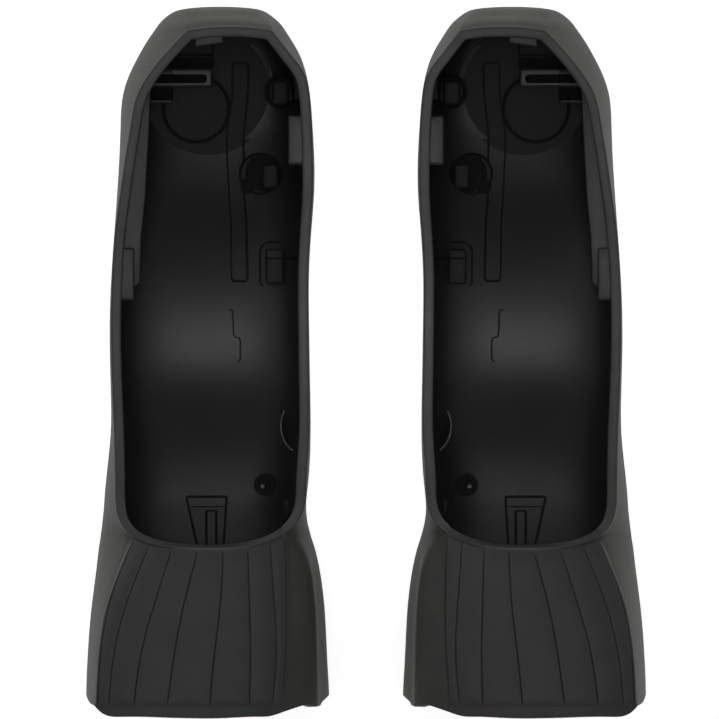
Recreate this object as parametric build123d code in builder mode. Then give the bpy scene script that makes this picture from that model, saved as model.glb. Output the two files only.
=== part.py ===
from build123d import *
import os
from typing import NamedTuple

# A mirrored pair of moulded-rubber hood covers for road-bicycle brake and shift levers.
# Each one lies on its palm side: +Z points out of the long opening, +Y towards the bulb-shaped
# horn, -Y towards the skirt that hugs the handlebar. X = 0 is the plane between the two covers.
# The right cover (+X) is built and the left one is its mirror image. Sizes are in millimetres.


class Station(NamedTuple):
    """One cross-section of the cover. x values are distances from the plane between the covers."""

    y: float
    rim_near: float  # top edge on the side nearer the other cover
    rim_far: float
    rim_z: float
    side_near: float  # widest places of the two side walls
    side_far: float
    side_z: float
    back_z: float  # lowest point of the palm side


STATIONS = [
    Station(67.9, 24.5, 32.0, 20.5, 23.5, 33.0, 15.5, 10.5),
    Station(66.6, 20.6, 35.2, 27.0, 19.2, 37.2, 16.0, 7.2),
    Station(63.8, 18.4, 32.4, 39.6, 15.8, 39.9, 17.0, 3.4),
    Station(57.6, 12.6, 39.2, 40.0, 12.2, 43.9, 18.0, 0.9),
    Station(49.9, 10.9, 43.9, 39.8, 10.6, 46.8, 18.0, 0.1),
    Station(34.7, 10.2, 46.3, 38.5, 9.8, 47.5, 19.0, 2.6),
    Station(19.4, 10.8, 48.2, 36.6, 10.6, 48.6, 21.0, 8.6),
    Station(8.0, 11.0, 48.7, 36.0, 10.8, 48.9, 22.0, 11.0),
    Station(-7.4, 10.8, 48.0, 37.2, 10.6, 48.7, 22.0, 9.0),
    Station(-22.6, 11.0, 47.9, 39.6, 10.8, 49.7, 22.0, 4.4),
    Station(-34.1, 13.0, 46.4, 42.0, 10.0, 51.0, 22.0, 1.6),
    Station(-45.6, 14.2, 48.6, 44.4, 8.4, 52.4, 22.0, 0.4),
    Station(-60.8, 14.9, 50.8, 47.2, 7.5, 53.4, 22.0, 0.1),
    Station(-67.9, 15.4, 51.2, 48.2, 7.2, 53.6, 22.0, 0.1),
]

MIDDLE_Z = 22.0  # height at which the cutters that only meet the upper half start
BAR_AXIS_Z = 23.5  # height of the handlebar's middle at the skirt's end
WALL = 1.7
ROOF = 1.8  # thickness of the fluted front panel
LIP = 2.0  # width of the rim, a little more than the wall
PANEL_CROWN = 0.9
CORNER_REACH = 0.76  # where the palm side turns into the side walls, as a share of the half width
CORNER_RISE = 0.08  # how far it has risen there, as a share of the height
SHOULDER_RISE = 0.55  # height of the upper side-wall point, as a share of the way from side_z to rim_z
HORN_CAVITY_END = 62.0
SKIRT_OVERRUN = 4.0  # how far the cavity cutter runs past the skirt's open end
OPENING_STRAIGHT_END = -22.6
# The rounded lower end of the opening, from the far side to the near side.
OPENING_END = [(45.2, -28.4), (41.6, -33.2), (31.6, -35.2), (20.0, -34.3), (14.6, -29.8)]
HORN_OPENING_END = 61.4
CUT_TOP = 60.0

PAD_X, PAD_Y, PAD_R = 32.4, 48.4, 6.2
PAD_Z, PAD_THICKNESS = 1.9, 1.4
PAD_GROOVE, PAD_UNDER_GAP = 0.4, 0.1
RELIEF_X, RELIEF_Y, RELIEF_R, RELIEF_Z, RELIEF_CLEAR = 30.2, 52.2, 12.6, 2.6, 10.0

CHANNEL_X, CHANNEL_WIDTH, CHANNEL_DEPTH = 24.3, 3.2, 0.5
CHANNEL_START, CHANNEL_END = 15.4, 57.2

POST_X, POST_Y, POST_R, POST_TOP = 17.0, 51.8, 1.8, 15.0
COLLAR_R, COLLAR_TOP = 2.9, 8.0
STUD_Y, STUD_Z, STUD_NECK_R, STUD_HEAD_R = 35.9, 18.0, 1.9, 2.6
STUD_ROOT, STUD_NECK_END, STUD_HEAD_END = 9.8, 21.8, 23.9

BAR_LUG_CENTRE, BAR_LUG_SIZE = (11.6, 42.3, 30.0), (6.2, 9.6, 6.0)
BLOCK_CENTRE, BLOCK_SIZE = (14.5, 18.5, 15.0), (10.0, 8.2, 14.0)
BLOCK_GROOVE_CENTRE, BLOCK_GROOVE_SIZE = (19.0, 19.8, 15.0), (2.4, 0.7, 14.0)
LEDGE_OUTLINE = [(41.4, 51.7), (43.2, 13.8), (50.0, 13.8), (50.0, 51.7)]
LEDGE_Z, LEDGE_THICKNESS = 22.0, 3.5
FAR_LUG_CENTRE, FAR_LUG_SIZE = (47.2, 16.7, 30.5), (5.6, 10.0, 5.0)
CRESCENT_CENTRE, CRESCENT_RADII, CRESCENT_Z, CRESCENT_THICKNESS = (9.6, -12.2), (6.6, 5.0), 20.0, 4.0
RING_CENTRE, RING_RADIUS, RING_BORE, RING_TOP = (19.6, -23.3, 0.0), 2.3, 1.6, 9.0
NUB_RADIUS, NUB_TOP = 0.9, 8.4
SLOT_FRAME_CENTRE, SLOT_FRAME_SIZE = (35.2, 55.8, 0.0), (11.6, 6.6, 9.0)
SLOT_CENTRE, SLOT_SIZE = (35.2, 56.0, 2.9), (9.4, 2.2, 9.0)
TAB_CENTRE, TAB_SIZE = (30.0, 61.6, 36.0), (5.0, 2.8, 3.0)
TRAPEZOID = [(26.7, -26.0), (34.6, -26.0), (31.9, -35.2), (27.5, -35.2)]
TRAPEZOID_RIBS, TRAPEZOID_RIB_SIZE = [(30.7, -31.6, 0.0), (28.8, -31.6, 0.0)], (0.7, 6.6, 5.4)
SKIRT_EDGE_DEPTH, SKIRT_EDGE_HALF_HEIGHT = 3.6, 21.0
PAD_EDGE_RADIUS = 0.4
UPWARD = (Align.CENTER, Align.CENTER, Align.MIN)

FLUTE_GROOVE, FLUTE_DEPTH = 0.7, 0.4
# The grooves between the flutes of the front panel, each from the rim to the hem, as (x, y) points.
FLUTE_GROOVES = [
    [(43.6, -37.5), (47.9, -44.0), (50.0, -54.0), (50.9, -64.0)],
    [(41.6, -38.0), (45.2, -45.0), (47.4, -54.0), (48.7, -65.2)],
    [(37.0, -38.6), (41.2, -47.0), (43.2, -57.0), (44.3, -65.2)],
    [(32.1, -38.6), (35.0, -47.4), (36.3, -55.0), (37.8, -65.8)],
    [(27.3, -38.6), (28.5, -48.2), (29.3, -58.0), (30.0, -66.2)],
    [(22.5, -38.4), (22.3, -48.0), (22.2, -57.0), (22.2, -66.2)],
    [(18.3, -37.6), (17.4, -47.0), (17.4, -56.5), (18.1, -65.2)],
]


def station_at(y: float) -> Station:
    """The cross-section at any y, straight-line between the two nearest stations."""
    for ahead, behind in zip(STATIONS, STATIONS[1:]):
        if behind.y <= y <= ahead.y:
            share = (ahead.y - y) / (ahead.y - behind.y)
            return Station(*(a + (b - a) * share for a, b in zip(ahead, behind)))
    return STATIONS[-1]._replace(y=y)


def section(s: Station, inset: float, roof_inset: float) -> Sketch:
    """One closed cross-section, taken in from the outer skin, on its own XZ plane."""
    near, far = s.side_near + inset, s.side_far - inset
    rim_near, rim_far = s.rim_near + inset, s.rim_far - inset
    top, bottom = s.rim_z - roof_inset, s.back_z + inset
    middle, half = (near + far) / 2, (far - near) / 2
    corner_z = bottom + CORNER_RISE * (top - bottom)
    shoulder_z = s.side_z + SHOULDER_RISE * (top - s.side_z)
    shoulder_near = near + (rim_near - near) * SHOULDER_RISE**2
    shoulder_far = far + (rim_far - far) * SHOULDER_RISE**2
    with BuildSketch(Plane.XZ.offset(-s.y)) as outline:
        with BuildLine():
            ThreePointArc((rim_near, top), ((rim_near + rim_far) / 2, top + PANEL_CROWN), (rim_far, top))
            Spline(
                (rim_far, top),
                (shoulder_far, shoulder_z),
                (far, s.side_z),
                (middle + half * CORNER_REACH, corner_z),
                (middle, bottom),
                (middle - half * CORNER_REACH, corner_z),
                (near, s.side_z),
                (shoulder_near, shoulder_z),
                (rim_near, top),
            )
        make_face()
    return outline.sketch


def cavity_stations() -> list[Station]:
    """The stations that the hollow runs through, from inside the horn to past the open skirt."""
    inner = [s for s in STATIONS if s.y < HORN_CAVITY_END]
    past_end = STATIONS[-1]._replace(y=STATIONS[-1].y - SKIRT_OVERRUN)
    return [station_at(HORN_CAVITY_END), *inner, past_end]


# The solid outer shape, and the same shape taken in by the depth of the flute grooves.
with BuildPart() as outer_shape:
    loft([section(s, 0.0, 0.0) for s in STATIONS])

with BuildPart() as below_flutes:
    loft([section(s, FLUTE_DEPTH, FLUTE_DEPTH) for s in STATIONS])

# The hollow, and a slightly larger one that reaches the bottom of the recesses in its floor.
with BuildPart() as hollow:
    loft([section(s, WALL, ROOF) for s in cavity_stations()])

with BuildPart() as recessed_hollow:
    loft([section(s, WALL - CHANNEL_DEPTH, ROOF) for s in cavity_stations()])

# The opening, cut straight up through the top of the shell. Its edge runs one lip inside the rim.
with BuildPart() as opening:
    with BuildSketch(Plane.XY.offset(MIDDLE_Z)):
        with BuildLine():
            edge = [s for s in STATIONS if OPENING_STRAIGHT_END <= s.y < HORN_CAVITY_END]
            far_edge = [(s.rim_far - LIP, s.y) for s in edge]
            near_edge = [(s.rim_near + LIP, s.y) for s in edge]
            horn_end = station_at(HORN_CAVITY_END)
            far_corner = (horn_end.rim_far - LIP / 2, HORN_OPENING_END)
            near_corner = (horn_end.rim_near + LIP / 2, HORN_OPENING_END)
            Line(near_corner, far_corner)
            Spline(far_corner, *far_edge)
            Spline(far_edge[-1], *OPENING_END, near_edge[-1])
            Spline(*reversed(near_edge), near_corner)
        make_face()
    extrude(amount=CUT_TOP)

# Grooves between the flutes, cut only as deep as the shape below them allows.
with BuildPart() as flute_grooves:
    for route in FLUTE_GROOVES:
        with BuildSketch(Plane.XY.offset(MIDDLE_Z)):
            with BuildLine():
                Spline(*route)
            trace(line_width=FLUTE_GROOVE)
        extrude(amount=CUT_TOP)
    add(below_flutes.part, mode=Mode.SUBTRACT)

# The post with its collar, which plugs into a socket of the lever body.
with BuildPart() as locating_post:
    with Locations((POST_X, POST_Y, 0)):
        Cylinder(POST_R, POST_TOP, align=UPWARD)
        Cylinder(COLLAR_R, COLLAR_TOP, align=UPWARD)
    add(outer_shape.part, mode=Mode.INTERSECT)

# The filled-in floor under the large flat round recess in the horn.
with BuildPart() as horn_floor:
    with Locations((RELIEF_X, RELIEF_Y, 0)):
        Cylinder(RELIEF_R, RELIEF_Z, align=UPWARD)
    add(outer_shape.part, mode=Mode.INTERSECT)

# What else is moulded on the inside: stud, lugs and ledges that key the cover to a lever body.
with BuildPart() as inner_mouldings:
    # Mushroom stud that stands out of the near wall.
    with BuildSketch(Plane.YZ.offset(STUD_ROOT)):
        with Locations((STUD_Y, STUD_Z)):
            Circle(STUD_NECK_R)
    extrude(amount=STUD_NECK_END - STUD_ROOT)
    with BuildSketch(Plane.YZ.offset(STUD_NECK_END)):
        with Locations((STUD_Y, STUD_Z)):
            Circle(STUD_HEAD_R)
    extrude(amount=STUD_HEAD_END - STUD_NECK_END)
    # Upright bar lug on the near wall, below the rim.
    with Locations(BAR_LUG_CENTRE):
        Box(*BAR_LUG_SIZE)
    # Grooved block on the near wall.
    with Locations(BLOCK_CENTRE):
        Box(*BLOCK_SIZE)
    with Locations(BLOCK_GROOVE_CENTRE):
        Box(*BLOCK_GROOVE_SIZE, mode=Mode.SUBTRACT)
    # Long ledge and short bar lug on the far wall.
    with BuildSketch(Plane.XY.offset(LEDGE_Z)):
        Polygon(*LEDGE_OUTLINE, align=None)
    extrude(amount=LEDGE_THICKNESS)
    with Locations(FAR_LUG_CENTRE):
        Box(*FAR_LUG_SIZE)
    # Crescent rib on the near wall and ring with a nub on the floor.
    with BuildSketch(Plane.XY.offset(CRESCENT_Z)):
        with Locations(CRESCENT_CENTRE):
            Ellipse(*CRESCENT_RADII)
    extrude(amount=CRESCENT_THICKNESS)
    with Locations(RING_CENTRE):
        Cylinder(RING_RADIUS, RING_TOP, align=UPWARD)
        Cylinder(RING_BORE, RING_TOP, align=UPWARD, mode=Mode.SUBTRACT)
        Cylinder(NUB_RADIUS, NUB_TOP, align=UPWARD)
    # Frame round the wire slot in the horn, and the tab under the rim's end.
    with Locations(SLOT_FRAME_CENTRE):
        Box(*SLOT_FRAME_SIZE, align=UPWARD)
    with Locations(SLOT_CENTRE):
        Box(*SLOT_SIZE, align=UPWARD, mode=Mode.SUBTRACT)
    with Locations(TAB_CENTRE):
        Box(*TAB_SIZE)
    # Two ribs in the trapezoid recess at the bar end.
    with Locations(TRAPEZOID_RIBS):
        Box(*TRAPEZOID_RIB_SIZE, align=UPWARD)
    add(outer_shape.part, mode=Mode.INTERSECT)

# Recesses in the cavity's floor: the flat round one in the horn, the long channel, and the
# trapezoid at the bar end.
with BuildPart() as floor_recesses:
    with Locations((RELIEF_X, RELIEF_Y, RELIEF_Z)):
        Cylinder(RELIEF_R, RELIEF_CLEAR, align=UPWARD)
    with Locations((CHANNEL_X, (CHANNEL_START + CHANNEL_END) / 2, 0)):
        Box(CHANNEL_WIDTH, CHANNEL_END - CHANNEL_START, MIDDLE_Z, align=UPWARD)
    with BuildSketch(Plane.XY):
        Polygon(*TRAPEZOID, align=None)
    extrude(amount=MIDDLE_Z)
    add(recessed_hollow.part, mode=Mode.INTERSECT)

with BuildPart() as right_hood:
    add(outer_shape.part)
    add(hollow.part, mode=Mode.SUBTRACT)
    add(opening.part, mode=Mode.SUBTRACT)
    add(flute_grooves.part, mode=Mode.SUBTRACT)
    add(floor_recesses.part, mode=Mode.SUBTRACT)
    add(horn_floor.part)
    add(inner_mouldings.part)
    add(locating_post.part)
    # Seat of the press pad, with the groove round it.
    with Locations((PAD_X, PAD_Y, PAD_Z - PAD_UNDER_GAP)):
        Cylinder(PAD_R + PAD_GROOVE, RELIEF_Z, align=UPWARD, mode=Mode.SUBTRACT)
    # The skirt's side edges curve in to follow the handlebar.
    bar_curve = (SKIRT_EDGE_HALF_HEIGHT**2 + SKIRT_EDGE_DEPTH**2) / (2 * SKIRT_EDGE_DEPTH)
    with BuildSketch(Plane.YZ):
        with Locations((STATIONS[-1].y + SKIRT_EDGE_DEPTH - bar_curve, BAR_AXIS_Z)):
            Circle(bar_curve)
    extrude(amount=CUT_TOP, mode=Mode.SUBTRACT)

with BuildPart() as right_button_pad:
    with Locations((PAD_X, PAD_Y, PAD_Z)):
        Cylinder(PAD_R, PAD_THICKNESS, align=UPWARD)
    fillet(right_button_pad.edges().group_by(Axis.Z)[-1], radius=PAD_EDGE_RADIUS)

with BuildPart() as left_hood:
    mirror(right_hood.part, about=Plane.YZ)

with BuildPart() as left_button_pad:
    mirror(right_button_pad.part, about=Plane.YZ)

PARTS = {
    "left_hood": left_hood,
    "right_hood": right_hood,
    "left_button_pad": left_button_pad,
    "right_button_pad": right_button_pad,
}

os.makedirs("parts", exist_ok=True)
for name, builder in PARTS.items():
    builder.part.label = name
    export_step(builder.part, f"parts/{name}.step")
    box = builder.part.bounding_box()
    print(name, round(builder.part.volume), "mm3", box.min, box.max)
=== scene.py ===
"""Looks of a mirrored pair of moulded-rubber hood covers for bicycle brake and shift levers.

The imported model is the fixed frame. Each cover is one soft moulding: an outer skin with a fine
blasted grain, a fluted front panel, a rolled rim round the lever opening, and a smooth inside with
the pegs, lugs and recesses that key it to a lever body. A loose-looking press pad sits in each horn.

The right cover (+X) is built in millimetres and the left one is its mirror image. +Y points to the
bulb-shaped horn, -Y to the skirt that hugs the handlebar, and +Z up out of the opening.
"""

import logging
import math
from dataclasses import dataclass, field
from enum import Enum

import bmesh
import bpy
import numpy as np
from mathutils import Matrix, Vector
from mathutils.bvhtree import BVHTree


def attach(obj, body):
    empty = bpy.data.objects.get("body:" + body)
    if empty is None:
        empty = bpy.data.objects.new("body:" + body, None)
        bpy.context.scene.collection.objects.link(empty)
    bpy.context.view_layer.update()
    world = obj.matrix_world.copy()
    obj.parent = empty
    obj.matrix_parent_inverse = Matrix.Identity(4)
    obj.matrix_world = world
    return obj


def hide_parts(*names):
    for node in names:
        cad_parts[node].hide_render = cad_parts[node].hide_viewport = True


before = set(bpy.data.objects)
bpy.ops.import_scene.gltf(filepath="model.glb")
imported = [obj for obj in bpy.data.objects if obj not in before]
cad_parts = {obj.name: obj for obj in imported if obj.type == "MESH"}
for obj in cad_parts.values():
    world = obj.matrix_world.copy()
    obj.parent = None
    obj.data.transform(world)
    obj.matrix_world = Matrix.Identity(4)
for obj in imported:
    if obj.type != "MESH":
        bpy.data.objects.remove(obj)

LOG = logging.getLogger("hood_covers")
MM = 0.001
SHARP_ANGLE = math.radians(42)  # edges over this stay crisp in the shading
BEVEL_ANGLE = math.radians(20)  # edges over this are rounded on a plain solid
WELD_M = 1e-7
RUBBER_IOR = 1.52
WHITE = (1.0, 1.0, 1.0, 1.0)
MOTTLE_MM = 6.0  # width of the patches of bloom on the rubber
MIX_FACTOR, MIX_A, MIX_B, MIX_RESULT = 0, 6, 7, 2  # colour sockets of the Mix node, by number
POST_X, POST_Y = 16.1, 51.8  # middle of the post's collar and its moat
PAD_X, PAD_Y = 32.55, 48.45  # the press pad's middle on the right cover


class Side(Enum):
    """Which cover of the pair a piece belongs to. The value is the sign of its X."""

    LEFT = -1
    RIGHT = 1


class Face(Enum):
    """The faces of the moulding that the tool finished differently. The value is the slot's index."""

    GRAINED = 0
    PANEL = 1
    RIM = 2
    INSIDE = 3
    # RECESS also carries painted shade: its colour is darkened to stand for the shade in narrow pockets.
    RECESS = 4
    # MATT also carries painted shade: its colour is darkened to stand for the shade on the horn floor and
    # pegs.
    MATT = 5


# ---------------------------------------------------------------------------------------------
# Small helpers
# ---------------------------------------------------------------------------------------------


def spline_through(knots: np.ndarray, values: np.ndarray, at: np.ndarray) -> np.ndarray:
    """Natural cubic spline through values.

    Args:
        knots: rising positions of the values, shape (n,).
        values: what the spline passes through, shape (n, ...).
        at: positions to read it at, shape (m,).

    Returns:
        The spline's values there, shape (m, ...).
    """
    count = len(knots)
    step = np.diff(knots)
    flat = values.reshape(count, -1)
    matrix = np.eye(count)
    right = np.zeros_like(flat)
    for i in range(1, count - 1):
        matrix[i, i - 1 : i + 2] = step[i - 1], 2 * (step[i - 1] + step[i]), step[i]
        right[i] = 6 * ((flat[i + 1] - flat[i]) / step[i] - (flat[i] - flat[i - 1]) / step[i - 1])
    bend = np.linalg.solve(matrix, right)
    k = np.clip(np.searchsorted(knots, at) - 1, 0, count - 2)
    before = (knots[k + 1] - at)[:, None]
    after = (at - knots[k])[:, None]
    span = step[k][:, None]
    out = bend[k] * before**3 / (6 * span) + bend[k + 1] * after**3 / (6 * span)
    out += (flat[k] / span - bend[k] * span / 6) * before
    out += (flat[k + 1] / span - bend[k + 1] * span / 6) * after
    return out.reshape(len(at), *values.shape[1:])


def smoothstep(value: np.ndarray, low: float, high: float) -> np.ndarray:
    """0 below low, 1 above high, and an S-curve between them."""
    t = np.clip((value - low) / (high - low), 0.0, 1.0)
    return t * t * (3 - 2 * t)


def unit(vectors: np.ndarray) -> np.ndarray:
    """The vectors at length one."""
    return vectors / np.maximum(np.linalg.norm(vectors, axis=-1, keepdims=True), 1e-12)


def mesh_object(name: str, points: np.ndarray, faces: list, slots: list | None = None) -> bpy.types.Object:
    """Makes a mesh object from points in millimetres.

    Args:
        name: the object's name.
        points: shape (n, 3), in millimetres.
        faces: one tuple of point numbers for each face.
        slots: one material slot number for each face, or None for all of them in the first.

    Returns:
        The new object, linked to the scene.
    """
    mesh = bpy.data.meshes.new(name)
    mesh.from_pydata((np.asarray(points) * MM).tolist(), [], faces)
    if slots is not None:
        mesh.polygons.foreach_set("material_index", slots)
    mesh.update()
    obj = bpy.data.objects.new(name, mesh)
    bpy.context.scene.collection.objects.link(obj)
    return obj


def facing_out(obj: bpy.types.Object) -> bpy.types.Object:
    """Turns the faces of a closed solid outwards, in place.

    Args:
        obj: the closed solid.

    Returns:
        The same object.
    """
    solid = bmesh.new()
    solid.from_mesh(obj.data)
    bmesh.ops.recalc_face_normals(solid, faces=solid.faces)
    solid.to_mesh(obj.data)
    solid.free()
    return obj


def bevelled(obj: bpy.types.Object, radius: float, segments: int = 3) -> bpy.types.Object:
    """Rounds every edge of a plain solid by radius millimetres, in place.

    Args:
        obj: the plain solid.
        radius: of the rounding, in millimetres.
        segments: steps round each edge.

    Returns:
        The same object.
    """
    solid = bmesh.new()
    solid.from_mesh(obj.data)
    bmesh.ops.recalc_face_normals(solid, faces=solid.faces)
    sharp = [e for e in solid.edges if e.calc_face_angle(0.0) > BEVEL_ANGLE]
    sizes = {"offset": radius * MM, "segments": segments, "profile": 0.5}
    bmesh.ops.bevel(solid, geom=sharp, affect="EDGES", clamp_overlap=True, **sizes)
    solid.to_mesh(obj.data)
    solid.free()
    return obj


def block(low: tuple, high: tuple, radius: float = 0.35) -> bpy.types.Object:
    """A box between two corners, in millimetres, with rounded edges.

    Args:
        low: the (x, y, z) of the lowest corner.
        high: the (x, y, z) of the highest corner.
        radius: of the rounded edges.

    Returns:
        The box as a closed mesh object.
    """
    (x0, y0, z0), (x1, y1, z1) = low, high
    outline = [(x0, y0), (x1, y0), (x1, y1), (x0, y1)]
    return prism(outline, z0, z1, radius)


def prism(outline: list, low: float, high: float, radius: float = 0.35) -> bpy.types.Object:
    """An upright prism on an (x, y) outline, in millimetres, with rounded edges.

    Args:
        outline: its corners in order.
        low: height of its foot.
        high: height of its top.
        radius: of the rounded edges.

    Returns:
        The prism as a closed mesh object.
    """
    count = len(outline)
    points = [(x, y, z) for z in (low, high) for x, y in outline]
    faces = [tuple(reversed(range(count))), tuple(range(count, 2 * count))]
    faces += [(i, (i + 1) % count, (i + 1) % count + count, i + count) for i in range(count)]
    return bevelled(mesh_object("prism", np.array(points), faces), radius)


def turned(profile: list, centre: tuple, segments: int = 72) -> bpy.types.Object:
    """A solid of revolution round an upright axis.

    Args:
        profile: (radius, height) points from the axis at the bottom to the axis at the top.
        centre: where height 0 of the axis lies, in millimetres.
        segments: steps round the axis.

    Returns:
        The solid as a closed mesh object.
    """
    angles = np.linspace(0, 2 * math.pi, segments, endpoint=False)
    inner = profile[1:-1]
    points = [(0.0, 0.0, profile[0][1])]
    for radius, height in inner:
        points += [(radius * math.cos(a), radius * math.sin(a), height) for a in angles]
    points.append((0.0, 0.0, profile[-1][1]))
    faces = [(0, 1 + (i + 1) % segments, 1 + i) for i in range(segments)]
    for ring in range(len(inner) - 1):
        low = 1 + ring * segments
        high = low + segments
        for i in range(segments):
            after = (i + 1) % segments
            faces.append((low + i, low + after, high + after, high + i))
    top = len(points) - 1
    last = top - segments
    faces += [(last + i, last + (i + 1) % segments, top) for i in range(segments)]
    return facing_out(mesh_object("turned", np.array(points) + np.array(centre), faces))


def combine(base: bpy.types.Object, tool: bpy.types.Object, operation: str, slot: Face) -> None:
    """Adds a solid to base, cuts it out of base or trims base to it, and deletes the tool.

    Args:
        base: the object that is changed.
        tool: the closed solid.
        operation: UNION, DIFFERENCE or INTERSECT.
        slot: the finish of the faces that the tool leaves.
    """
    tool.data.materials.clear()
    for existing in base.data.materials:
        tool.data.materials.append(existing)
    tool.data.polygons.foreach_set("material_index", [slot.value] * len(tool.data.polygons))
    modifier = base.modifiers.new("join", "BOOLEAN")
    modifier.object = tool
    modifier.operation = operation
    modifier.solver = "MANIFOLD"
    evaluated = base.evaluated_get(bpy.context.evaluated_depsgraph_get())
    result = bpy.data.meshes.new_from_object(evaluated)
    base.modifiers.remove(modifier)
    old = base.data
    base.data = result
    bpy.data.meshes.remove(old)
    discard(tool)


def discard(obj: bpy.types.Object) -> None:
    """Deletes an object and its mesh.

    Args:
        obj: the object to delete.
    """
    mesh = obj.data
    bpy.data.objects.remove(obj)
    bpy.data.meshes.remove(mesh)


# ---------------------------------------------------------------------------------------------
# Finishes
# ---------------------------------------------------------------------------------------------


def linear(hex_colour: str) -> tuple[float, float, float, float]:
    """The linear colour, with alpha 1, of an sRGB hex value such as #2b2a29.

    Args:
        hex_colour: the colour as a designer writes it.

    Returns:
        Red, green, blue and alpha.
    """
    channels = [int(hex_colour[i : i + 2], 16) / 255 for i in (1, 3, 5)]
    values = [c / 12.92 if c <= 0.04045 else ((c + 0.055) / 1.055) ** 2.4 for c in channels]
    return (*values, 1.0)


def add_node(tree: bpy.types.NodeTree, kind: str, settings: dict, links: dict) -> bpy.types.Node:
    """Adds one node to a tree.

    Args:
        tree: the material's or world's node tree.
        kind: the node's type name.
        settings: input socket or property name to value.
        links: input socket name to the output socket that feeds it.

    Returns:
        The new node.
    """
    node = tree.nodes.new(kind)
    for key, value in settings.items():
        if key in node.inputs:
            node.inputs[key].default_value = value
        else:
            setattr(node, key, value)
    for key, source in links.items():
        tree.links.new(source, node.inputs[key])
    return node


def map_range(
    tree: bpy.types.NodeTree, value: bpy.types.NodeSocket, source: tuple, target: tuple
) -> bpy.types.NodeSocket:
    """A socket's value, taken from one (low, high) range to another.

    Args:
        tree: the node tree.
        value: the output socket to read.
        source: the range that it has.
        target: the range that it is given.

    Returns:
        The output socket with the new range.
    """
    names = ("From Min", "From Max", "To Min", "To Max")
    node = add_node(tree, "ShaderNodeMapRange", dict(zip(names, (*source, *target))), {"Value": value})
    return node.outputs["Result"]


@dataclass(frozen=True)
class MouldedRubber:
    """Carbon-black elastomer as it leaves a steel mould.

    The mould's finish sets the look: a blasted cavity leaves a fine grain that scatters light and
    reads as a warmer, paler black, and a polished core leaves a smooth satin that reads darker.
    The recess and matt finishes are darker still, as painted shade.
    """

    name: str
    base: str  # sRGB of the rubber
    bloom: str  # sRGB of the paler bloom and handling dust that mottles it
    bloom_share: float
    roughness: float
    grain_mm: float  # width of one grain of the blasted finish
    grain_depth_mm: float
    ripple_depth_mm: float
    ripple_mm: float = 8.0  # width of the slow unevenness left by shrinkage
    roughness_spread: float = 0.04
    specular: float = 0.5

    def material(self) -> bpy.types.Material:
        """Builds the node material.

        Returns:
            The new material, with its node tree.
        """
        made = bpy.data.materials.new(self.name)
        made.use_nodes = True
        tree = made.node_tree
        tree.nodes.clear()
        place = add_node(tree, "ShaderNodeTexCoord", {}, {}).outputs["Object"]
        grain = self._noise(tree, place, self.grain_mm, 3.0)
        ripple = self._noise(tree, place, self.ripple_mm, 2.0)
        mottle = self._noise(tree, place, MOTTLE_MM, 5.0)
        spread = self.roughness_spread
        bloom = map_range(tree, mottle, (0.42, 0.72), (0.0, self.bloom_share))
        rough = map_range(tree, grain, (0.3, 0.7), (self.roughness - spread, self.roughness + spread))
        colour = add_node(tree, "ShaderNodeMix", {"data_type": "RGBA"}, {})
        colour.inputs[MIX_A].default_value = linear(self.base)
        colour.inputs[MIX_B].default_value = linear(self.bloom)
        tree.links.new(bloom, colour.inputs[MIX_FACTOR])
        slow = self._bump(tree, self.ripple_depth_mm, {"Height": ripple})
        fine = self._bump(tree, self.grain_depth_mm, {"Height": grain, "Normal": slow})
        shader = add_node(
            tree,
            "ShaderNodeBsdfPrincipled",
            {"IOR": RUBBER_IOR, "Specular IOR Level": self.specular},
            {"Base Color": colour.outputs[MIX_RESULT], "Roughness": rough, "Normal": fine},
        )
        add_node(tree, "ShaderNodeOutputMaterial", {}, {"Surface": shader.outputs["BSDF"]})
        return made

    def _noise(
        self, tree: bpy.types.NodeTree, place: bpy.types.NodeSocket, width_mm: float, detail: float
    ) -> bpy.types.NodeSocket:
        """A noise whose blotches are about width_mm across."""
        settings = {"Scale": 1 / (width_mm * MM), "Detail": detail, "Roughness": 0.6}
        return add_node(tree, "ShaderNodeTexNoise", settings, {"Vector": place}).outputs["Fac"]

    def _bump(self, tree: bpy.types.NodeTree, depth_mm: float, links: dict) -> bpy.types.NodeSocket:
        """A bump depth_mm deep, as a normal."""
        settings = {"Strength": 1.0, "Distance": depth_mm * MM}
        return add_node(tree, "ShaderNodeBump", settings, links).outputs["Normal"]


# Blasted outer skin: the grain is about 0.1 mm on the real one and is drawn at 0.4 mm so that it shows.
GRAINED_SKIN = MouldedRubber(
    name="black_rubber_blasted_skin",
    base="#42423f",
    bloom="#4b4b46",
    bloom_share=0.5,
    roughness=0.60,
    roughness_spread=0.06,
    grain_mm=0.42,
    grain_depth_mm=0.12,
    ripple_mm=9.0,
    ripple_depth_mm=0.03,
    specular=0.1,
)
# Smooth satin of the fluted panel, from a finely polished cavity.
SATIN_PANEL = MouldedRubber(
    name="black_rubber_satin_panel",
    base="#2d2b2b",
    bloom="#383535",
    bloom_share=0.5,
    roughness=0.55,
    grain_mm=0.5,
    grain_depth_mm=0.008,
    ripple_mm=7.0,
    ripple_depth_mm=0.05,
)
# The rim, where the two halves of the mould meet: satin, with a little dust on the crest; the horn's bridge
# and tab take it as a painted highlight.
SATIN_RIM = MouldedRubber(
    name="black_rubber_satin_rim",
    base="#2d2d2c",
    bloom="#3b3b39",
    bloom_share=0.6,
    roughness=0.50,
    roughness_spread=0.05,
    grain_mm=0.5,
    grain_depth_mm=0.012,
    ripple_mm=5.0,
    ripple_depth_mm=0.04,
)
# The inside, against the polished core: the darkest and smoothest of the faces.
SATIN_INSIDE = MouldedRubber(
    name="black_rubber_satin_inside",
    base="#222121",
    bloom="#2c2a2a",
    bloom_share=0.5,
    roughness=0.48,
    grain_mm=0.6,
    grain_depth_mm=0.008,
    ripple_depth_mm=0.06,
)
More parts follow.
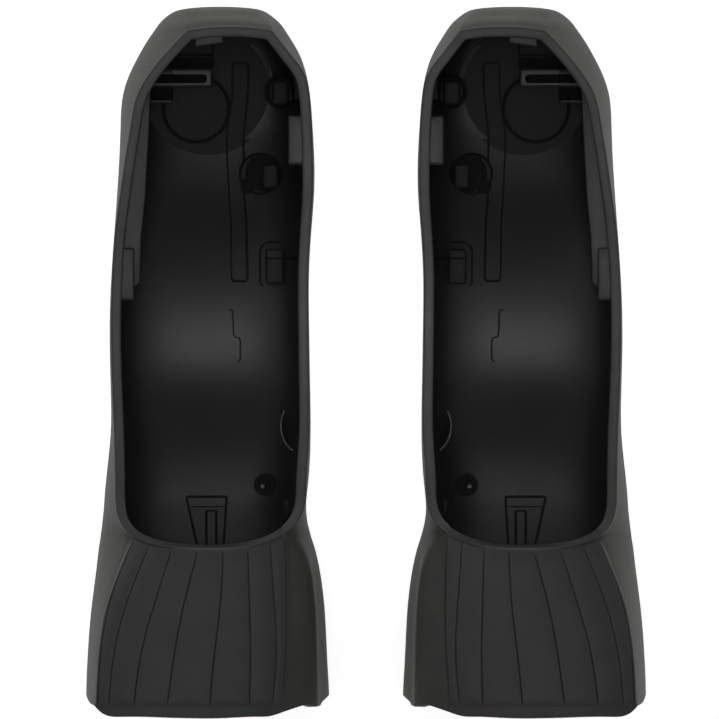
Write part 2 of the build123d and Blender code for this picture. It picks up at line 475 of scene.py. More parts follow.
# Floors of the narrow recesses: matt, and the darkest, with painted shade in its dark colour.
RECESS_PAINTED_SHADE = MouldedRubber(
    name="black_rubber_recess_painted_shade",
    base="#161616",
    bloom="#1a1a1a",
    bloom_share=0.4,
    roughness=0.8,
    grain_mm=0.4,
    grain_depth_mm=0.01,
    ripple_depth_mm=0.02,
    specular=0.25,
)
# Horn floor, pegs and press pad: matt, with painted shade in its dead, even black.
MATT_PAINTED_SHADE = MouldedRubber(
    name="black_rubber_matt_painted_shade",
    base="#1b1b1b",
    bloom="#202020",
    bloom_share=0.4,
    roughness=0.68,
    grain_mm=0.4,
    grain_depth_mm=0.015,
    ripple_depth_mm=0.04,
    specular=0.32,
)
HOOD_FINISHES = (GRAINED_SKIN, SATIN_PANEL, SATIN_RIM, SATIN_INSIDE, RECESS_PAINTED_SHADE, MATT_PAINTED_SHADE)


# ---------------------------------------------------------------------------------------------
# Shape of the cover
# ---------------------------------------------------------------------------------------------


@dataclass(frozen=True)
class Station:
    """One cross-section of the outer skin, in millimetres. x is the distance from the pair's middle."""

    y: float
    rim_near: float
    rim_far: float
    rim_z: float
    side_near: float
    side_far: float
    side_z: float
    back_z: float


# Places in and round the right cover, in millimetres.
COVER_MIDDLE = (30.0, 0.0, 22.0)
ABOVE_OPENING = (30.0, 10.0, 70.0)
BEHIND_SKIRT = (30.0, -85.0, 22.0)
# The rounded edge band between the skins: (share of the way in, share of the band's height).
BAND_PROFILE = (
    *((0.02, 0.5), (0.06, 0.85), (0.13, 1.0), (0.35, 1.02), (0.6, 1.0)),
    *((0.84, 1.0), (0.9, 1.12), (0.95, 0.95), (0.985, 0.5)),
)


@dataclass
class HoodForm:
    """The moulding's outer and inner skins as one mesh, and the sizes that they follow."""

    stations: tuple = (
        Station(67.5, 22.5, 33.6, 23.0, 21.2, 34.4, 16.0, 8.6),
        Station(66.9, 20.9, 34.3, 27.5, 19.3, 36.7, 16.5, 5.4),
        Station(65.3, 19.3, 34.5, 33.0, 17.1, 38.9, 17.0, 3.0),
        Station(63.1, 17.8, 34.2, 39.0, 15.3, 40.6, 18.0, 1.6),
        Station(61.2, 16.3, 36.1, 39.2, 14.1, 41.9, 18.0, 0.9),
        Station(58.6, 14.3, 38.5, 39.3, 12.65, 43.4, 18.0, 0.4),
        Station(55.2, 11.85, 41.2, 39.3, 11.5, 45.1, 18.0, 0.3),
        Station(50.8, 10.75, 43.7, 39.2, 10.7, 46.5, 18.0, 0.3),
        Station(46.0, 10.35, 44.8, 38.9, 10.3, 46.9, 18.2, 0.45),
        Station(40.0, 10.15, 45.8, 38.4, 9.95, 47.1, 18.6, 1.3),
        Station(33.0, 10.1, 46.8, 37.8, 9.9, 47.5, 19.2, 3.1),
        Station(25.7, 10.5, 47.8, 36.9, 10.4, 48.0, 20.1, 5.9),
        Station(17.0, 10.95, 48.45, 36.0, 10.9, 48.6, 21.2, 9.2),
        Station(8.0, 10.95, 48.7, 35.5, 10.9, 48.95, 22.0, 11.1),
        Station(-4.0, 10.8, 48.5, 36.2, 10.7, 48.8, 22.0, 10.3),
        Station(-14.0, 10.8, 48.1, 37.5, 10.6, 48.8, 22.0, 6.2),
        Station(-24.0, 11.35, 47.9, 39.2, 11.15, 49.8, 22.0, 3.6),
        Station(-26.4, 11.35, 47.9, 39.7, 11.4, 50.0, 22.0, 3.2),
        Station(-30.3, 11.35, 47.9, 40.5, 11.2, 50.4, 22.0, 2.45),
        Station(-34.1, 11.35, 47.9, 41.2, 10.1, 51.0, 22.0, 1.75),
        Station(-38.0, 11.35, 47.9, 41.9, 9.15, 51.4, 22.0, 1.1),
        Station(-45.6, 11.35, 47.9, 43.4, 8.2, 52.3, 22.0, 0.5),
        Station(-55.0, 11.35, 47.9, 45.2, 7.7, 53.1, 22.0, 0.25),
        Station(-67.3, 11.35, 47.9, 46.5, 7.3, 53.45, 22.0, 0.25),
    )
    tip_stations: int = 4  # those up to the corner where the rim turns along the end of the horn
    wall_shares: tuple = (1.0, 0.965, 0.89, 0.65, 0.45, 0.2, 0.0)  # heights of a wall's points
    near_flare: tuple = (1.0, 0.64, 0.33, 0.23, 0.22, 0.12, 0.0)  # the skirt's near wall at those heights
    corner_reach: float = 0.77  # where the palm side turns up, as a share of the half width
    corner_rise: float = 0.08  # how far it has risen there, as a share of the height
    horn_corner_rise: float = 0.05
    horn_reach: tuple = (36.0, 47.0)  # y over which the palm side takes the horn's squarer corners
    flare_reach: tuple = (29.0, 40.0)  # -y over which the near wall takes the skirt's flare
    wall: float = 1.7
    arc_top: float = -24.0  # y where the rim's straight sides turn into the lower arc
    arc_depth: float = 11.8
    arc_power_far: float = 3.2
    arc_power_near: float = 2.6
    panel_top: float = -33.0  # y where the panel's side folds leave the rim
    fold_far: tuple = (
        (-34.6, 45.4), (-36.8, 46.2), (-39.6, 47.45), (-43.0, 48.65), (-46.4, 49.45), (-50.0, 50.15),
        (-54.2, 50.75), (-59.3, 51.2), (-67.3, 51.6),
    )  # (y, x) of the fold between the panel and the far wall
    fold_near: tuple = (
        *((-35.5, 14.95), (-42.3, 14.8), (-49.0, 14.8)),
        *((-54.0, 14.95), (-59.3, 15.05), (-67.3, 15.6)),
    )
    table_size: int = 6000  # entries of the table that finds a place along the stations from y
    tip_rows: int = 22
    side_rows: int = 118
    corner_rows: int = 20
    wall_columns: int = 116
    tip_columns: int = 40
    fold_columns: int = 7  # columns each side of a fold that its rounding reaches
    panel_fold_columns: int = 4
    tip_fold_rows: int = 6
    fold_passes: int = 16
    shoulder_columns: int = 46
    shoulder_rows: tuple = (-14, 22)  # rows from the arc's lowest one that the blend reaches
    shoulder_peak: int = 3  # row with the most blending
    shoulder_fade: int = 20
    shoulder_passes: int = 60
    inner_weight: float = 0.6
    inner_passes: int = 5
    panel_crown: float = 1.9
    tip_crown: float = 0.8
    tip_bulge: float = 0.35
    rim_width: float = 2.05
    arc_rim_width: float = 0.55  # width of the rim in the middle of the lower arc
    arc_rim_power: float = 1.7
    arc_rim_drop: float = 1.5
    lip_reach: float = 3.2  # how far down the wall the lip's thickening runs
    rim_height: float = 0.4
    hem_height: float = 0.25
    flute_height: float = 0.17
    flute_crown: float = 0.18
    flute_pitch: float = 5.0
    flute_gap: float = 0.02  # half the bottom of the groove between two flutes
    flute_slope: float = 0.13
    flute_start: float = 0.42  # bare band between the rim and the flutes
    flute_corner: float = 0.7
    hem_band: float = 1.7  # bare band between the flutes and the hem
    hem_line_depth: float = 0.05
    flute_lines: tuple = (
        (45.0, 48.75, 50.45, 51.0), (41.6, 45.5, 47.95, 48.95), (37.0, 40.2, 42.85, 44.2),
        (31.9, 34.6, 36.5, 37.9), (27.2, 27.7, 28.85, 29.8), (22.5, 22.2, 22.0, 22.2),
        (18.2, 17.5, 17.1, 18.0), (15.35, 15.15, 15.35, 16.0),
    )  # x of each groove at the four y values below
    flute_line_y: tuple = (-36.0, -46.0, -56.0, -66.0)
    flute_columns: int = 22
    hem_wave: tuple = (
        (7.3, 3.2), (7.9, 2.2), (8.8, 1.85), (10.2, 1.95), (11.2, 2.2), (12.6, 1.95), (15.6, 0.95),
        (18.0, 0.2), (20.5, 0.1), (23.0, 0.05), (26.0, -0.1), (30.0, -0.2), (34.0, -0.15),
        (38.0, -0.05), (42.2, 0.1), (47.0, 0.1), (49.0, 0.2), (49.9, 0.5), (50.6, 1.0), (51.2, 1.6),
        (51.8, 2.05), (52.6, 2.4), (53.1, 3.0), (53.5, 3.9),
    )  # (x, how much shorter the skirt is there)
    hem_curve: float = 3.7  # bite half way down the side walls, where the bar passes
    hem_middle_z: float = 19.0
    hem_reach: float = 14.0
    hem_reach_y: tuple = (52.0, 67.3)  # -y over which the hem's shape grows
    bite_near: float = 14.4  # the bite is in the walls outside these two x
    bite_far: float = 51.2
    points: list = field(default_factory=list)
    faces: list = field(default_factory=list)
    slots: list = field(default_factory=list)

    def build(self) -> bpy.types.Object:
        """Builds the closed shell as one mesh object, without its inside mouldings.

        Returns:
            The shell, with one material slot number for each face.
        """
        self._read_stations()
        self._outer_skin()
        self.outer = np.array(self.points)
        quads = list(self.faces)
        rim_loop = self._rim_loop()
        hem_loop = [*self.wall_ids[-1], *self.panel_ids[-1, 1:-1][::-1]]
        self.loops = (rim_loop, hem_loop)
        self.edges = np.array([(a, b) for f in quads for a, b in zip(f, (*f[1:], f[0]))])
        folds = self._fold_weights()
        shoulders = self._shoulder_weights()
        self.outer = self._averaged(self.outer, folds, self.fold_passes)
        self.outer = self._averaged(self.outer, shoulders, self.shoulder_passes)
        self.quads = quads
        self.normals = self._normals(self.outer, quads)
        inner = self.outer - self.normals * self.wall
        calm = np.full(len(inner), self.inner_weight)
        calm[rim_loop] = 0
        calm[hem_loop] = 0
        inner = self._averaged(inner, calm, self.inner_passes)
        inner = self._shape_lip(inner)
        outer = self.outer + self.normals * self._flutes(self.outer)[:, None]
        count = len(outer)
        points = [*outer, *inner]
        faces = quads + [tuple(i + count for i in reversed(f)) for f in quads]
        slots = list(self.slots) + [Face.INSIDE.value] * len(quads)
        self._edge_band(points, faces, slots, rim_loop, count, (0, 0, 1), self.rim_height, Face.RIM)
        self._edge_band(points, faces, slots, hem_loop, count, (0, -1, 0), self.hem_height, Face.GRAINED)
        return facing_out(mesh_object("hood_shell", np.array(points), faces, slots))

    def hollow(self, depth: float) -> bpy.types.Object:
        """The space inside the outer skin, taken in by depth millimetres, as a closed solid.

        Args:
            depth: distance from the outer skin, in millimetres.

        Returns:
            The solid, closed over the opening and over the end of the skirt.
        """
        points = [*(self.outer - self.normals * depth), ABOVE_OPENING, BEHIND_SKIRT]
        faces = list(self.quads)
        for loop, apex in zip(self.loops, (len(points) - 2, len(points) - 1)):
            faces += [(loop[i], loop[(i + 1) % len(loop)], apex) for i in range(len(loop))]
        return facing_out(mesh_object("hollow", np.array(points), faces))

    def _read_stations(self) -> None:
        """Makes splines of the stations' sizes."""
        ys = np.array([s.y for s in self.stations])
        sizes = np.array([(s.y, s.side_near, s.side_far, s.side_z, s.back_z) for s in self.stations])
        rims = np.array([(s.rim_near, s.rim_far, s.rim_z) for s in self.stations])
        steps = np.linalg.norm(np.diff(np.hstack([sizes, rims[:, 2:]]), axis=0), axis=1)
        along = np.concatenate([[0], np.cumsum(steps)])
        corner = self.tip_stations - 1
        self.corner_along = along[corner]
        fine = np.linspace(0, along[-1], self.table_size)
        fine_y = spline_through(along, sizes[:, :1], fine)[:, 0]
        self.along_of = lambda y: np.interp(-np.asarray(y, float), -fine_y, fine)
        self.sizes_at = lambda at: spline_through(along, sizes, at)
        self.tip_rims_at = lambda at: spline_through(along[: corner + 1], rims[: corner + 1], at)
        self.side_rims_at = lambda y: spline_through(-ys[corner:], rims[corner:], -np.asarray(y, float))
        top = self.side_rims_at(np.array([self.arc_top]))[0]
        self.arc_middle = (top[0] + top[1]) / 2
        self.arc_half = (top[1] - top[0]) / 2

    def _edges_at(self, y: np.ndarray) -> tuple:
        """x of the walls' upper edges at y: the rim's outside, then the arc, then the folds.

        Args:
            y: places along the cover.

        Returns:
            x of the near edge, x of the far edge and their height, at each y.
        """
        rims = self.side_rims_at(y)
        share = np.clip((self.arc_top - y) / self.arc_depth, 0, 1)
        out = []
        for column, sign, power, fold in (
            (0, -1, self.arc_power_near, self.fold_near),
            (1, 1, self.arc_power_far, self.fold_far),
        ):
            arc = self.arc_middle + sign * self.arc_half * (1 - share**power) ** (1 / power)
            leave = (self.arc_top - self.panel_top) / self.arc_depth
            start = self.arc_middle + sign * self.arc_half * (1 - leave**power) ** (1 / power)
            fold_y = np.array([self.panel_top, *(p[0] for p in fold)])
            fold_x = np.array([start, *(p[1] for p in fold)])
            folded = spline_through(-fold_y, fold_x, -y)
            out.append(np.where(y > self.arc_top, rims[:, column], np.where(y > self.panel_top, arc, folded)))
        return out[0], out[1], rims[:, 2]

    def _section(self, y: float, near: float, far: float, top: float, sizes: np.ndarray) -> np.ndarray:
        """Points down the far wall, across the palm side and up the near wall.

        Args:
            y: place along the cover.
            near: x of the near wall's upper edge.
            far: x of the far wall's upper edge.
            top: height of both edges.
            sizes: y, side_near, side_far, side_z and back_z there.

        Returns:
            The points, shape (n, 3).
        """
        _, side_near, side_far, side_z, back_z = sizes
        flare = float(smoothstep(np.array(-y), *self.flare_reach))
        shares = np.array(self.wall_shares)
        heights = side_z + (top - side_z) * shares
        plain = shares**2
        near_form = plain * (1 - flare) + np.array(self.near_flare) * flare
        level = np.full(len(shares), y)
        far_wall = np.stack([side_far + (far - side_far) * plain, level, heights], axis=1)
        near_wall = np.stack([side_near + (near - side_near) * near_form, level, heights], axis=1)
        middle, half = (side_near + side_far) / 2, (side_far - side_near) / 2
        in_horn = float(smoothstep(np.array(y), *self.horn_reach))
        rise = self.corner_rise + (self.horn_corner_rise - self.corner_rise) * in_horn
        corner_z = back_z + rise * (top - back_z)
        palm = [
            (middle + half * self.corner_reach, y, corner_z),
            (middle, y, back_z),
            (middle - half * self.corner_reach, y, corner_z),
        ]
        return np.vstack([far_wall, palm, near_wall[::-1]])

    def _outer_skin(self) -> None:
        """Lays down the outer skin: walls and palm side, horn end, fluted panel and tip cap.

        The grids of point numbers, one row for each section, are wall_ids, tip_ids and panel_ids.
        """
        hem = self.stations[-1].y
        corner_y = self.stations[self.tip_stations - 1].y
        tip = np.linspace(0, self.corner_along, self.tip_rows + 1)
        self.steps = self._skirt_steps()
        main_y = np.concatenate(
            [
                np.linspace(corner_y, self.arc_top, self.side_rows + 1)[1:],
                np.linspace(self.arc_top, self.panel_top, self.corner_rows + 1)[1:],
                (self.panel_top + (hem - self.panel_top) * self.steps)[1:],
            ]
        )
        sections = []
        tip_sizes = self.sizes_at(tip)
        for sizes, (near, far, top) in zip(tip_sizes, self.tip_rims_at(tip)):
            sections.append(self._section(sizes[0], near, far, top, sizes))
        main_sizes = self.sizes_at(self.along_of(main_y))
        for y, sizes, near, far, top in zip(main_y, main_sizes, *self._edges_at(main_y)):
            sections.append(self._section(y, near, far, top, sizes))
        grid = np.array(sections)
        across = np.linalg.norm(np.diff(grid, axis=1), axis=2).mean(axis=0)
        knots = np.concatenate([[0], np.cumsum(across)])
        turn = np.linspace(0, 1, self.wall_columns + 1)
        columns = (turn - 0.05 * np.sin(4 * math.pi * turn)) * knots[-1]
        walls = spline_through(knots, grid.transpose(1, 0, 2), columns).transpose(1, 0, 2)
        walls[:, :, 1] += self._hem_shift(walls)
        self.first_panel_row = self.tip_rows + self.side_rows + self.corner_rows
        self.wall_ids = np.array([[self._add(p) for p in row] for row in walls])
        self._grid_faces(self.wall_ids, Face.GRAINED)
        self._horn_end(walls)
        self._front_panel()
        self._tip_cap()

    def _skirt_steps(self) -> np.ndarray:
        """Shares of the way from the rim's lower arc to the hem, close together at both ends.

        Returns:
            Rising shares from 0 to 1.
        """
        steps = np.concatenate([np.full(14, 0.22), np.full(20, 1.15), np.full(16, 0.3)])
        shares = np.concatenate([[0], np.cumsum(steps)])
        return shares / shares[-1]

    def _add(self, point: np.ndarray) -> int:
        """Adds a point and returns its number."""
        self.points.append(point)
        return len(self.points) - 1

    def _grid_faces(self, ids: np.ndarray, slot: Face) -> None:
        """Adds the quads of a grid of point numbers.

        Args:
            ids: point numbers, in rows and columns.
            slot: the finish of its faces.
        """
        for i in range(ids.shape[0] - 1):
            for j in range(ids.shape[1] - 1):
                self.faces.append((ids[i, j], ids[i, j + 1], ids[i + 1, j + 1], ids[i + 1, j]))
                self.slots.append(slot.value)

    def _hem_shift(self, points: np.ndarray) -> np.ndarray:
        """How far each point is drawn back from the hem, growing down the skirt.

        Args:
            points: places on the skin, shape (..., 3).

        Returns:
            The shift along +Y for each of them, in millimetres.
        """
        x, y, z = points[..., 0], points[..., 1], points[..., 2]
        marks = np.array(self.hem_wave)
        held = np.clip(x, marks[0, 0], marks[-1, 0]).ravel()
        wave = spline_through(marks[:, 0], marks[:, 1:], held)[:, 0].reshape(x.shape)
        bite = self.hem_curve * np.clip(1 - ((z - self.hem_middle_z) / self.hem_reach) ** 2, 0, 1)
        in_wall = (x > self.bite_far) | (x < self.bite_near)
        shift = np.where(in_wall, np.maximum(wave, bite), wave)
        return shift * smoothstep(-y, *self.hem_reach_y) ** 1.5

    def _horn_end(self, walls: np.ndarray) -> None:
        """The leaning end face of the horn, from the tip to the rim.

        Args:
            walls: the walls' points, one row for each section.
        """
        shares = np.linspace(0, 1, self.tip_columns + 1)
        ids = np.zeros((self.tip_rows + 1, self.tip_columns + 1), int)
        ids[:, 0] = self.wall_ids[: self.tip_rows + 1, 0]
        ids[:, -1] = self.wall_ids[: self.tip_rows + 1, -1]
        for i in range(self.tip_rows + 1):
            far, near = walls[i, 0], walls[i, -1]
            level = i / self.tip_rows
            for j in range(1, self.tip_columns):
                share = shares[j]
                crown = (1 - abs(2 * share - 1) ** 2.4) * self.tip_crown
                bulge = np.array([0, level, 0.8 * (1 - level)]) * crown
                ids[i, j] = self._add(far + (near - far) * share + bulge)
        self._grid_faces(ids[:, ::-1], Face.GRAINED)
        self.tip_ids = ids

    def _front_panel(self) -> None:
        """The panel between the rim's lower arc and the hem, with its columns along the flutes."""
        first = self.first_panel_row
        hem = self.stations[-1].y
        straight_y = self.panel_top + (hem - self.panel_top) * self.steps
        near_x, far_x, edge_z = self._edges_at(straight_y)
        knots = -np.array(self.flute_line_y)
        lines = [np.stack([far_x, straight_y], axis=1)]
        for xs in self.flute_lines:
            values = np.array(xs)
            x = values[0]
            for _ in range(12):
                y = self._arc_point(self._arc_angle(x))[1]
                x = float(spline_through(knots, values[:, None], np.array([-y]))[0, 0])
            ys = y + (hem - y) * self.steps
            lines.append(np.stack([spline_through(knots, values[:, None], -ys)[:, 0], ys], axis=1))
        lines.append(np.stack([near_x, straight_y], axis=1))
        angles = [self._arc_angle(line[0, 0]) for line in lines]
        columns = []
        fade = (1 - self.steps) ** 3
        for k in range(len(lines) - 1):
            count = 4 if k in (0, len(lines) - 2) else self.flute_columns
            turn = np.linspace(0, 1, count + 1)
            shares = turn - (0.125 * np.sin(2 * math.pi * turn) if count > 4 else 0)
            for share in shares[: -1 if k < len(lines) - 2 else None]:
                column = lines[k] * (1 - share) + lines[k + 1] * share
                arc = self._arc_point(angles[k] * (1 - share) + angles[k + 1] * share)
                columns.append(column + (arc - column[0]) * fade[:, None])
        plan = np.array(columns).transpose(1, 0, 2)
        depth = -straight_y
        share = (np.interp(-plan[..., 1], depth, far_x) - plan[..., 0]) / np.interp(
            -plan[..., 1], depth, far_x - near_x
        )
        crown = self.panel_crown * (1 - np.abs(2 * np.clip(share, 0, 1) - 1) ** 3.2)
        crown *= smoothstep(-plan[..., 1], 20.0, 42.0)
        z = np.interp(-plan[..., 1], depth, edge_z) + crown
        skin = np.concatenate([plan, z[..., None]], axis=2)
        skin[..., 1] += self._hem_shift(skin)
        ids = np.zeros(z.shape, int)
        ids[:, 0] = self.wall_ids[first:, 0]
        ids[:, -1] = self.wall_ids[first:, -1]
        for i in range(ids.shape[0]):
            for j in range(1, ids.shape[1] - 1):
                ids[i, j] = self._add(skin[i, j])
        self._grid_faces(ids[:, ::-1], Face.PANEL)
        self.panel_ids = ids

    def _arc_angle(self, x: float) -> float:
        """Angle parameter of the lower arc at x: 0 at the far side and pi at the near side.

        Args:
            x: distance from the middle of the pair.

        Returns:
            The angle, in radians.
        """
        share = (x - self.arc_middle) / self.arc_half
        power = self.arc_power_far if share > 0 else self.arc_power_near
        return math.acos(math.copysign(min(abs(share), 1.0) ** (power / 2), share))

    def _arc_point(self, angle: float) -> np.ndarray:
        """The (x, y) of the lower arc at an angle parameter.

        Args:
            angle: in radians, as _arc_angle gives it.

        Returns:
            The point, in millimetres.
        """
        cosine, sine = math.cos(angle), math.sin(angle)
        power = self.arc_power_far if cosine > 0 else self.arc_power_near
        x = self.arc_middle + self.arc_half * math.copysign(abs(cosine) ** (2 / power), cosine)
        return np.array([x, self.arc_top - self.arc_depth * abs(sine) ** (2 / power)])

    def _tip_cap(self) -> None:
        """Closes the tip of the horn with shrinking rings."""
        ring = [*self.wall_ids[0], *self.tip_ids[0, ::-1][1:-1]]
        outline = np.array([self.points[i] for i in ring])
        centre = outline.mean(axis=0)
        previous = ring
        for scale in (0.86, 0.7, 0.52, 0.34, 0.17):
            bulge = np.array([0, self.tip_bulge * (1 - scale**2), 0])
            current = [self._add(centre + (p - centre) * scale + bulge) for p in outline]
            for i in range(len(ring)):
                after = (i + 1) % len(ring)
                self.faces.append((previous[i], current[i], current[after], previous[after]))
                self.slots.append(Face.GRAINED.value)
            previous = current
        middle = self._add(centre + np.array([0, self.tip_bulge, 0]))
        for i in range(len(ring)):
            self.faces.append((previous[i], middle, previous[(i + 1) % len(ring)]))
            self.slots.append(Face.GRAINED.value)

    def _fold_weights(self) -> np.ndarray:
        """How much each point may move to round the folds: 1 on a soft fold, 0 away from any.

        Returns:
            One weight for each point.
        """
        weight = np.zeros(len(self.points))
        above, skirt = slice(0, self.tip_rows - 2), slice(self.first_panel_row + 8, -2)
        for column in range(self.fold_columns):
            fall = 1 - column / self.fold_columns
            grids = [(self.wall_ids[above], fall), (self.tip_ids[above], fall), (self.wall_ids[skirt], fall)]
            if column < self.panel_fold_columns:
                grids.append((self.panel_ids[8:-2], 0.5 * fall))
            for ids, value in grids:
                for side in (column, -1 - column):
                    weight[ids[:, side]] = np.maximum(weight[ids[:, side]], value)
        for row in range(self.tip_fold_rows):
            for ids in (self.wall_ids[row], self.tip_ids[row]):
                weight[ids] = np.maximum(weight[ids], 1 - row / self.tip_fold_rows)
        return weight

    def _shoulder_weights(self) -> np.ndarray:
        """How much each point may move to blend the rim's lower arc into the folds below it.

        Returns:
            One weight for each point.
        """
        weight = np.zeros(len(self.points))
        reach = self.shoulder_columns
        for offset in range(*self.shoulder_rows):
            fade = 1 - abs(offset - self.shoulder_peak) / self.shoulder_fade
            row = self.first_panel_row + offset
            for column in range(1 if offset <= 0 else 0, reach):
                for side in (column, -1 - column):
                    weight[self.wall_ids[row, side]] = fade * (1 - column / reach)
            for column in (1, 2, 3):
                for side in (column, -1 - column):
                    weight[self.panel_ids[max(offset, 0), side]] = 0.6 * fade if offset > 0 else 0.0
        return weight

    def _averaged(self, points: np.ndarray, weight: np.ndarray, passes: int) -> np.ndarray:
        """The points, each drawn towards the mean of its neighbours by its weight.

        Args:
            points: shape (n, 3).
            weight: how far each one may move, from 0 to 1.
            passes: how many times.

        Returns:
            The moved points.
        """
        smooth = points.copy()
        degree = np.bincount(self.edges.ravel(), minlength=len(points))[:, None]
        for _ in range(passes):
            total = np.zeros_like(smooth)
            np.add.at(total, self.edges[:, 0], smooth[self.edges[:, 1]])
            np.add.at(total, self.edges[:, 1], smooth[self.edges[:, 0]])
            smooth += 0.5 * weight[:, None] * (total / degree - smooth)
        return smooth

    def _normals(self, points: np.ndarray, faces: list) -> np.ndarray:
        """Unit normals at the points, pointing out of the cover.

        Args:
            points: shape (n, 3).
            faces: triangles and quads of point numbers.

        Returns:
            One unit vector for each point.
        """
        total = np.zeros_like(points)
        for size in (3, 4):
            chosen = np.array([f for f in faces if len(f) == size])
            corner = points[chosen]
            normal = np.cross(corner[:, 2] - corner[:, 0], corner[:, size - 1] - corner[:, 1])
            for k in range(size):
                np.add.at(total, chosen[:, k], normal)
        normals = unit(total)
        in_middle = np.abs(points[:, 1]) < 20
        outward = (normals * (points - np.array(COVER_MIDDLE)))[in_middle][:, [0, 2]].sum()
        return normals if outward > 0 else -normals

    def _rim_loop(self) -> list:
        """Point numbers once round the opening: down the far side, the arc, the near side, the end."""
        sides = slice(self.tip_rows, self.first_panel_row)
        far, near = self.wall_ids[sides, 0], self.wall_ids[sides, -1]
        return [*far, *self.panel_ids[0], *near[::-1], *self.tip_ids[-1, 1:-1][::-1]]

    def _shape_lip(self, inner: np.ndarray) -> np.ndarray:
        """Widens the wall into a lip at the opening, narrow in the middle of the lower arc.

        Args:
            inner: points of the inner skin.

        Returns:
            The inner skin with its lip.
        """
        loop = self.loops[0]
        rim = self.outer[loop]
        before, after = rim - np.roll(rim, 1, axis=0), np.roll(rim, -1, axis=0) - rim
        sides = [unit(np.stack([-d[:, 1], d[:, 0]], axis=1)) for d in (before, after)]
        inward = unit(sides[0] + sides[1])
        inward /= np.maximum((inward * sides[0]).sum(axis=1), 0.6)[:, None]
        if ((np.array([self.arc_middle, 10.0]) - rim[:, :2]) * inward).sum() < 0:
            inward = -inward
        share = np.clip(np.abs(rim[:, 0] - self.arc_middle) / self.arc_half, 0, 1)
        on_arc = rim[:, 1] < self.arc_top
        arc_width = self.arc_rim_width + (self.rim_width - self.arc_rim_width) * share**self.arc_rim_power
        width = np.where(on_arc, arc_width, self.rim_width)
        drop = np.where(on_arc, self.arc_rim_drop * (1 - share**2), 0.0)
        target = rim + np.column_stack([inward * width[:, None], -drop])
        move = dict(zip(loop, target - inner[loop]))
        shaped = inner.copy()
        rows = range(self.tip_rows, self.first_panel_row)
        strips = [(self.wall_ids[i, 0], self.wall_ids[i, 1:40]) for i in rows]
        strips += [(self.wall_ids[i, -1], self.wall_ids[i, -40:-1]) for i in rows]
        strips += [(self.panel_ids[0, j], self.panel_ids[1:24, j]) for j in range(self.panel_ids.shape[1])]
        strips += [(self.tip_ids[-1, j], self.tip_ids[4:-1, j]) for j in range(1, self.tip_ids.shape[1] - 1)]
        for edge, others in strips:
            shaped[edge] = inner[edge] + move[edge]
            away = np.linalg.norm(self.outer[others] - self.outer[edge], axis=1)
            shaped[others] += move[edge] * (1 - smoothstep(away, 0.0, self.lip_reach))[:, None]
        return shaped

    def _flutes(self, outer: np.ndarray) -> np.ndarray:
        """How far each point of the panel stands up, as flutes parted by fine grooves.

        Args:
            outer: points of the outer skin.

        Returns:
            The height of each point, in millimetres.
        """
        height = np.zeros(len(outer))
        ids = self.panel_ids.ravel()
        x, y = outer[ids, 0], outer[ids, 1]
        knots = -np.array(self.flute_line_y)
        values = np.array(self.flute_lines).T
        lines = spline_through(knots, values, -y).T
        inside = np.minimum(lines[0] - x, x - lines[-1])
        to_groove = np.abs(lines - x).min(axis=0)
        power = np.where(x > self.arc_middle, self.arc_power_far, self.arc_power_near)
        px = np.abs(x - self.arc_middle) / self.arc_half
        py = np.clip(self.arc_top - y, 0, None) / self.arc_depth
        level = (px**power + py**power) ** (1 / power)
        from_rim = (level - 1) * np.hypot(x - self.arc_middle, self.arc_top - y) * 0.95
        from_hem = y - self.stations[-1].y - self.hem_band
        side = to_groove - self.flute_gap
        top = from_rim - self.flute_start
        corner = self.flute_corner
        rounded = corner - np.hypot(np.clip(corner - side, 0, None), np.clip(corner - top, 0, None))
        rise = smoothstep(rounded, 0.0, self.flute_slope) * self.flute_height
        rise *= smoothstep(from_hem, -0.3, 1.0)
        arch = 1 - np.clip(1 - 2 * to_groove / self.flute_pitch, 0, 1) ** 2
        crown = self.flute_crown * arch * smoothstep(top, 0.0, 3.0)
        rise = (rise + crown * smoothstep(from_hem, 0.0, 2.0)) * smoothstep(inside, -0.6, -0.3)
        line_place, line_width = 0.25, 0.22
        hem_line = -self.hem_line_depth * np.exp(-(((from_hem + line_place) / line_width) ** 2))
        height[ids] = rise + hem_line
        return height

    def _edge_band(
        self,
        points: list,
        faces: list,
        slots: list,
        loop: list,
        offset: int,
        outward: tuple,
        height: float,
        slot: Face,
    ) -> None:
        """Joins the outer and inner skins along an open edge with a flat band with rounded sides.

        Args:
            points: all points so far, which the band's own points join.
            faces: all faces so far.
            slots: all face slots so far.
            loop: outer point numbers round the edge; the inner ones are offset further on.
            offset: how far on the inner points are.
            outward: rough direction out of the material, which settles the band's sign.
            height: how far the band stands out, in millimetres.
            slot: the band's finish.
        """
        outer = np.array([points[i] for i in loop])
        inner = np.array([points[i + offset] for i in loop])
        tangent = np.roll(outer, -1, axis=0) - np.roll(outer, 1, axis=0)
        away = unit(np.cross(unit(tangent), unit(inner - outer)))
        if (away @ np.array(outward)).sum() < 0:
            away = -away
        for _ in range(3):
            away = unit(away + np.roll(away, 1, axis=0) + np.roll(away, -1, axis=0))
        rings = [list(loop)]
        for share, rise in BAND_PROFILE:
            rings.append([len(points) + i for i in range(len(loop))])
            points.extend(outer + (inner - outer) * share + away * rise * height)
        rings.append([i + offset for i in loop])
        count = len(loop)
        for low, high in zip(rings, rings[1:]):
            for i in range(count):
                faces.append((low[i], low[(i + 1) % count], high[(i + 1) % count], high[i]))
                slots.append(slot.value)


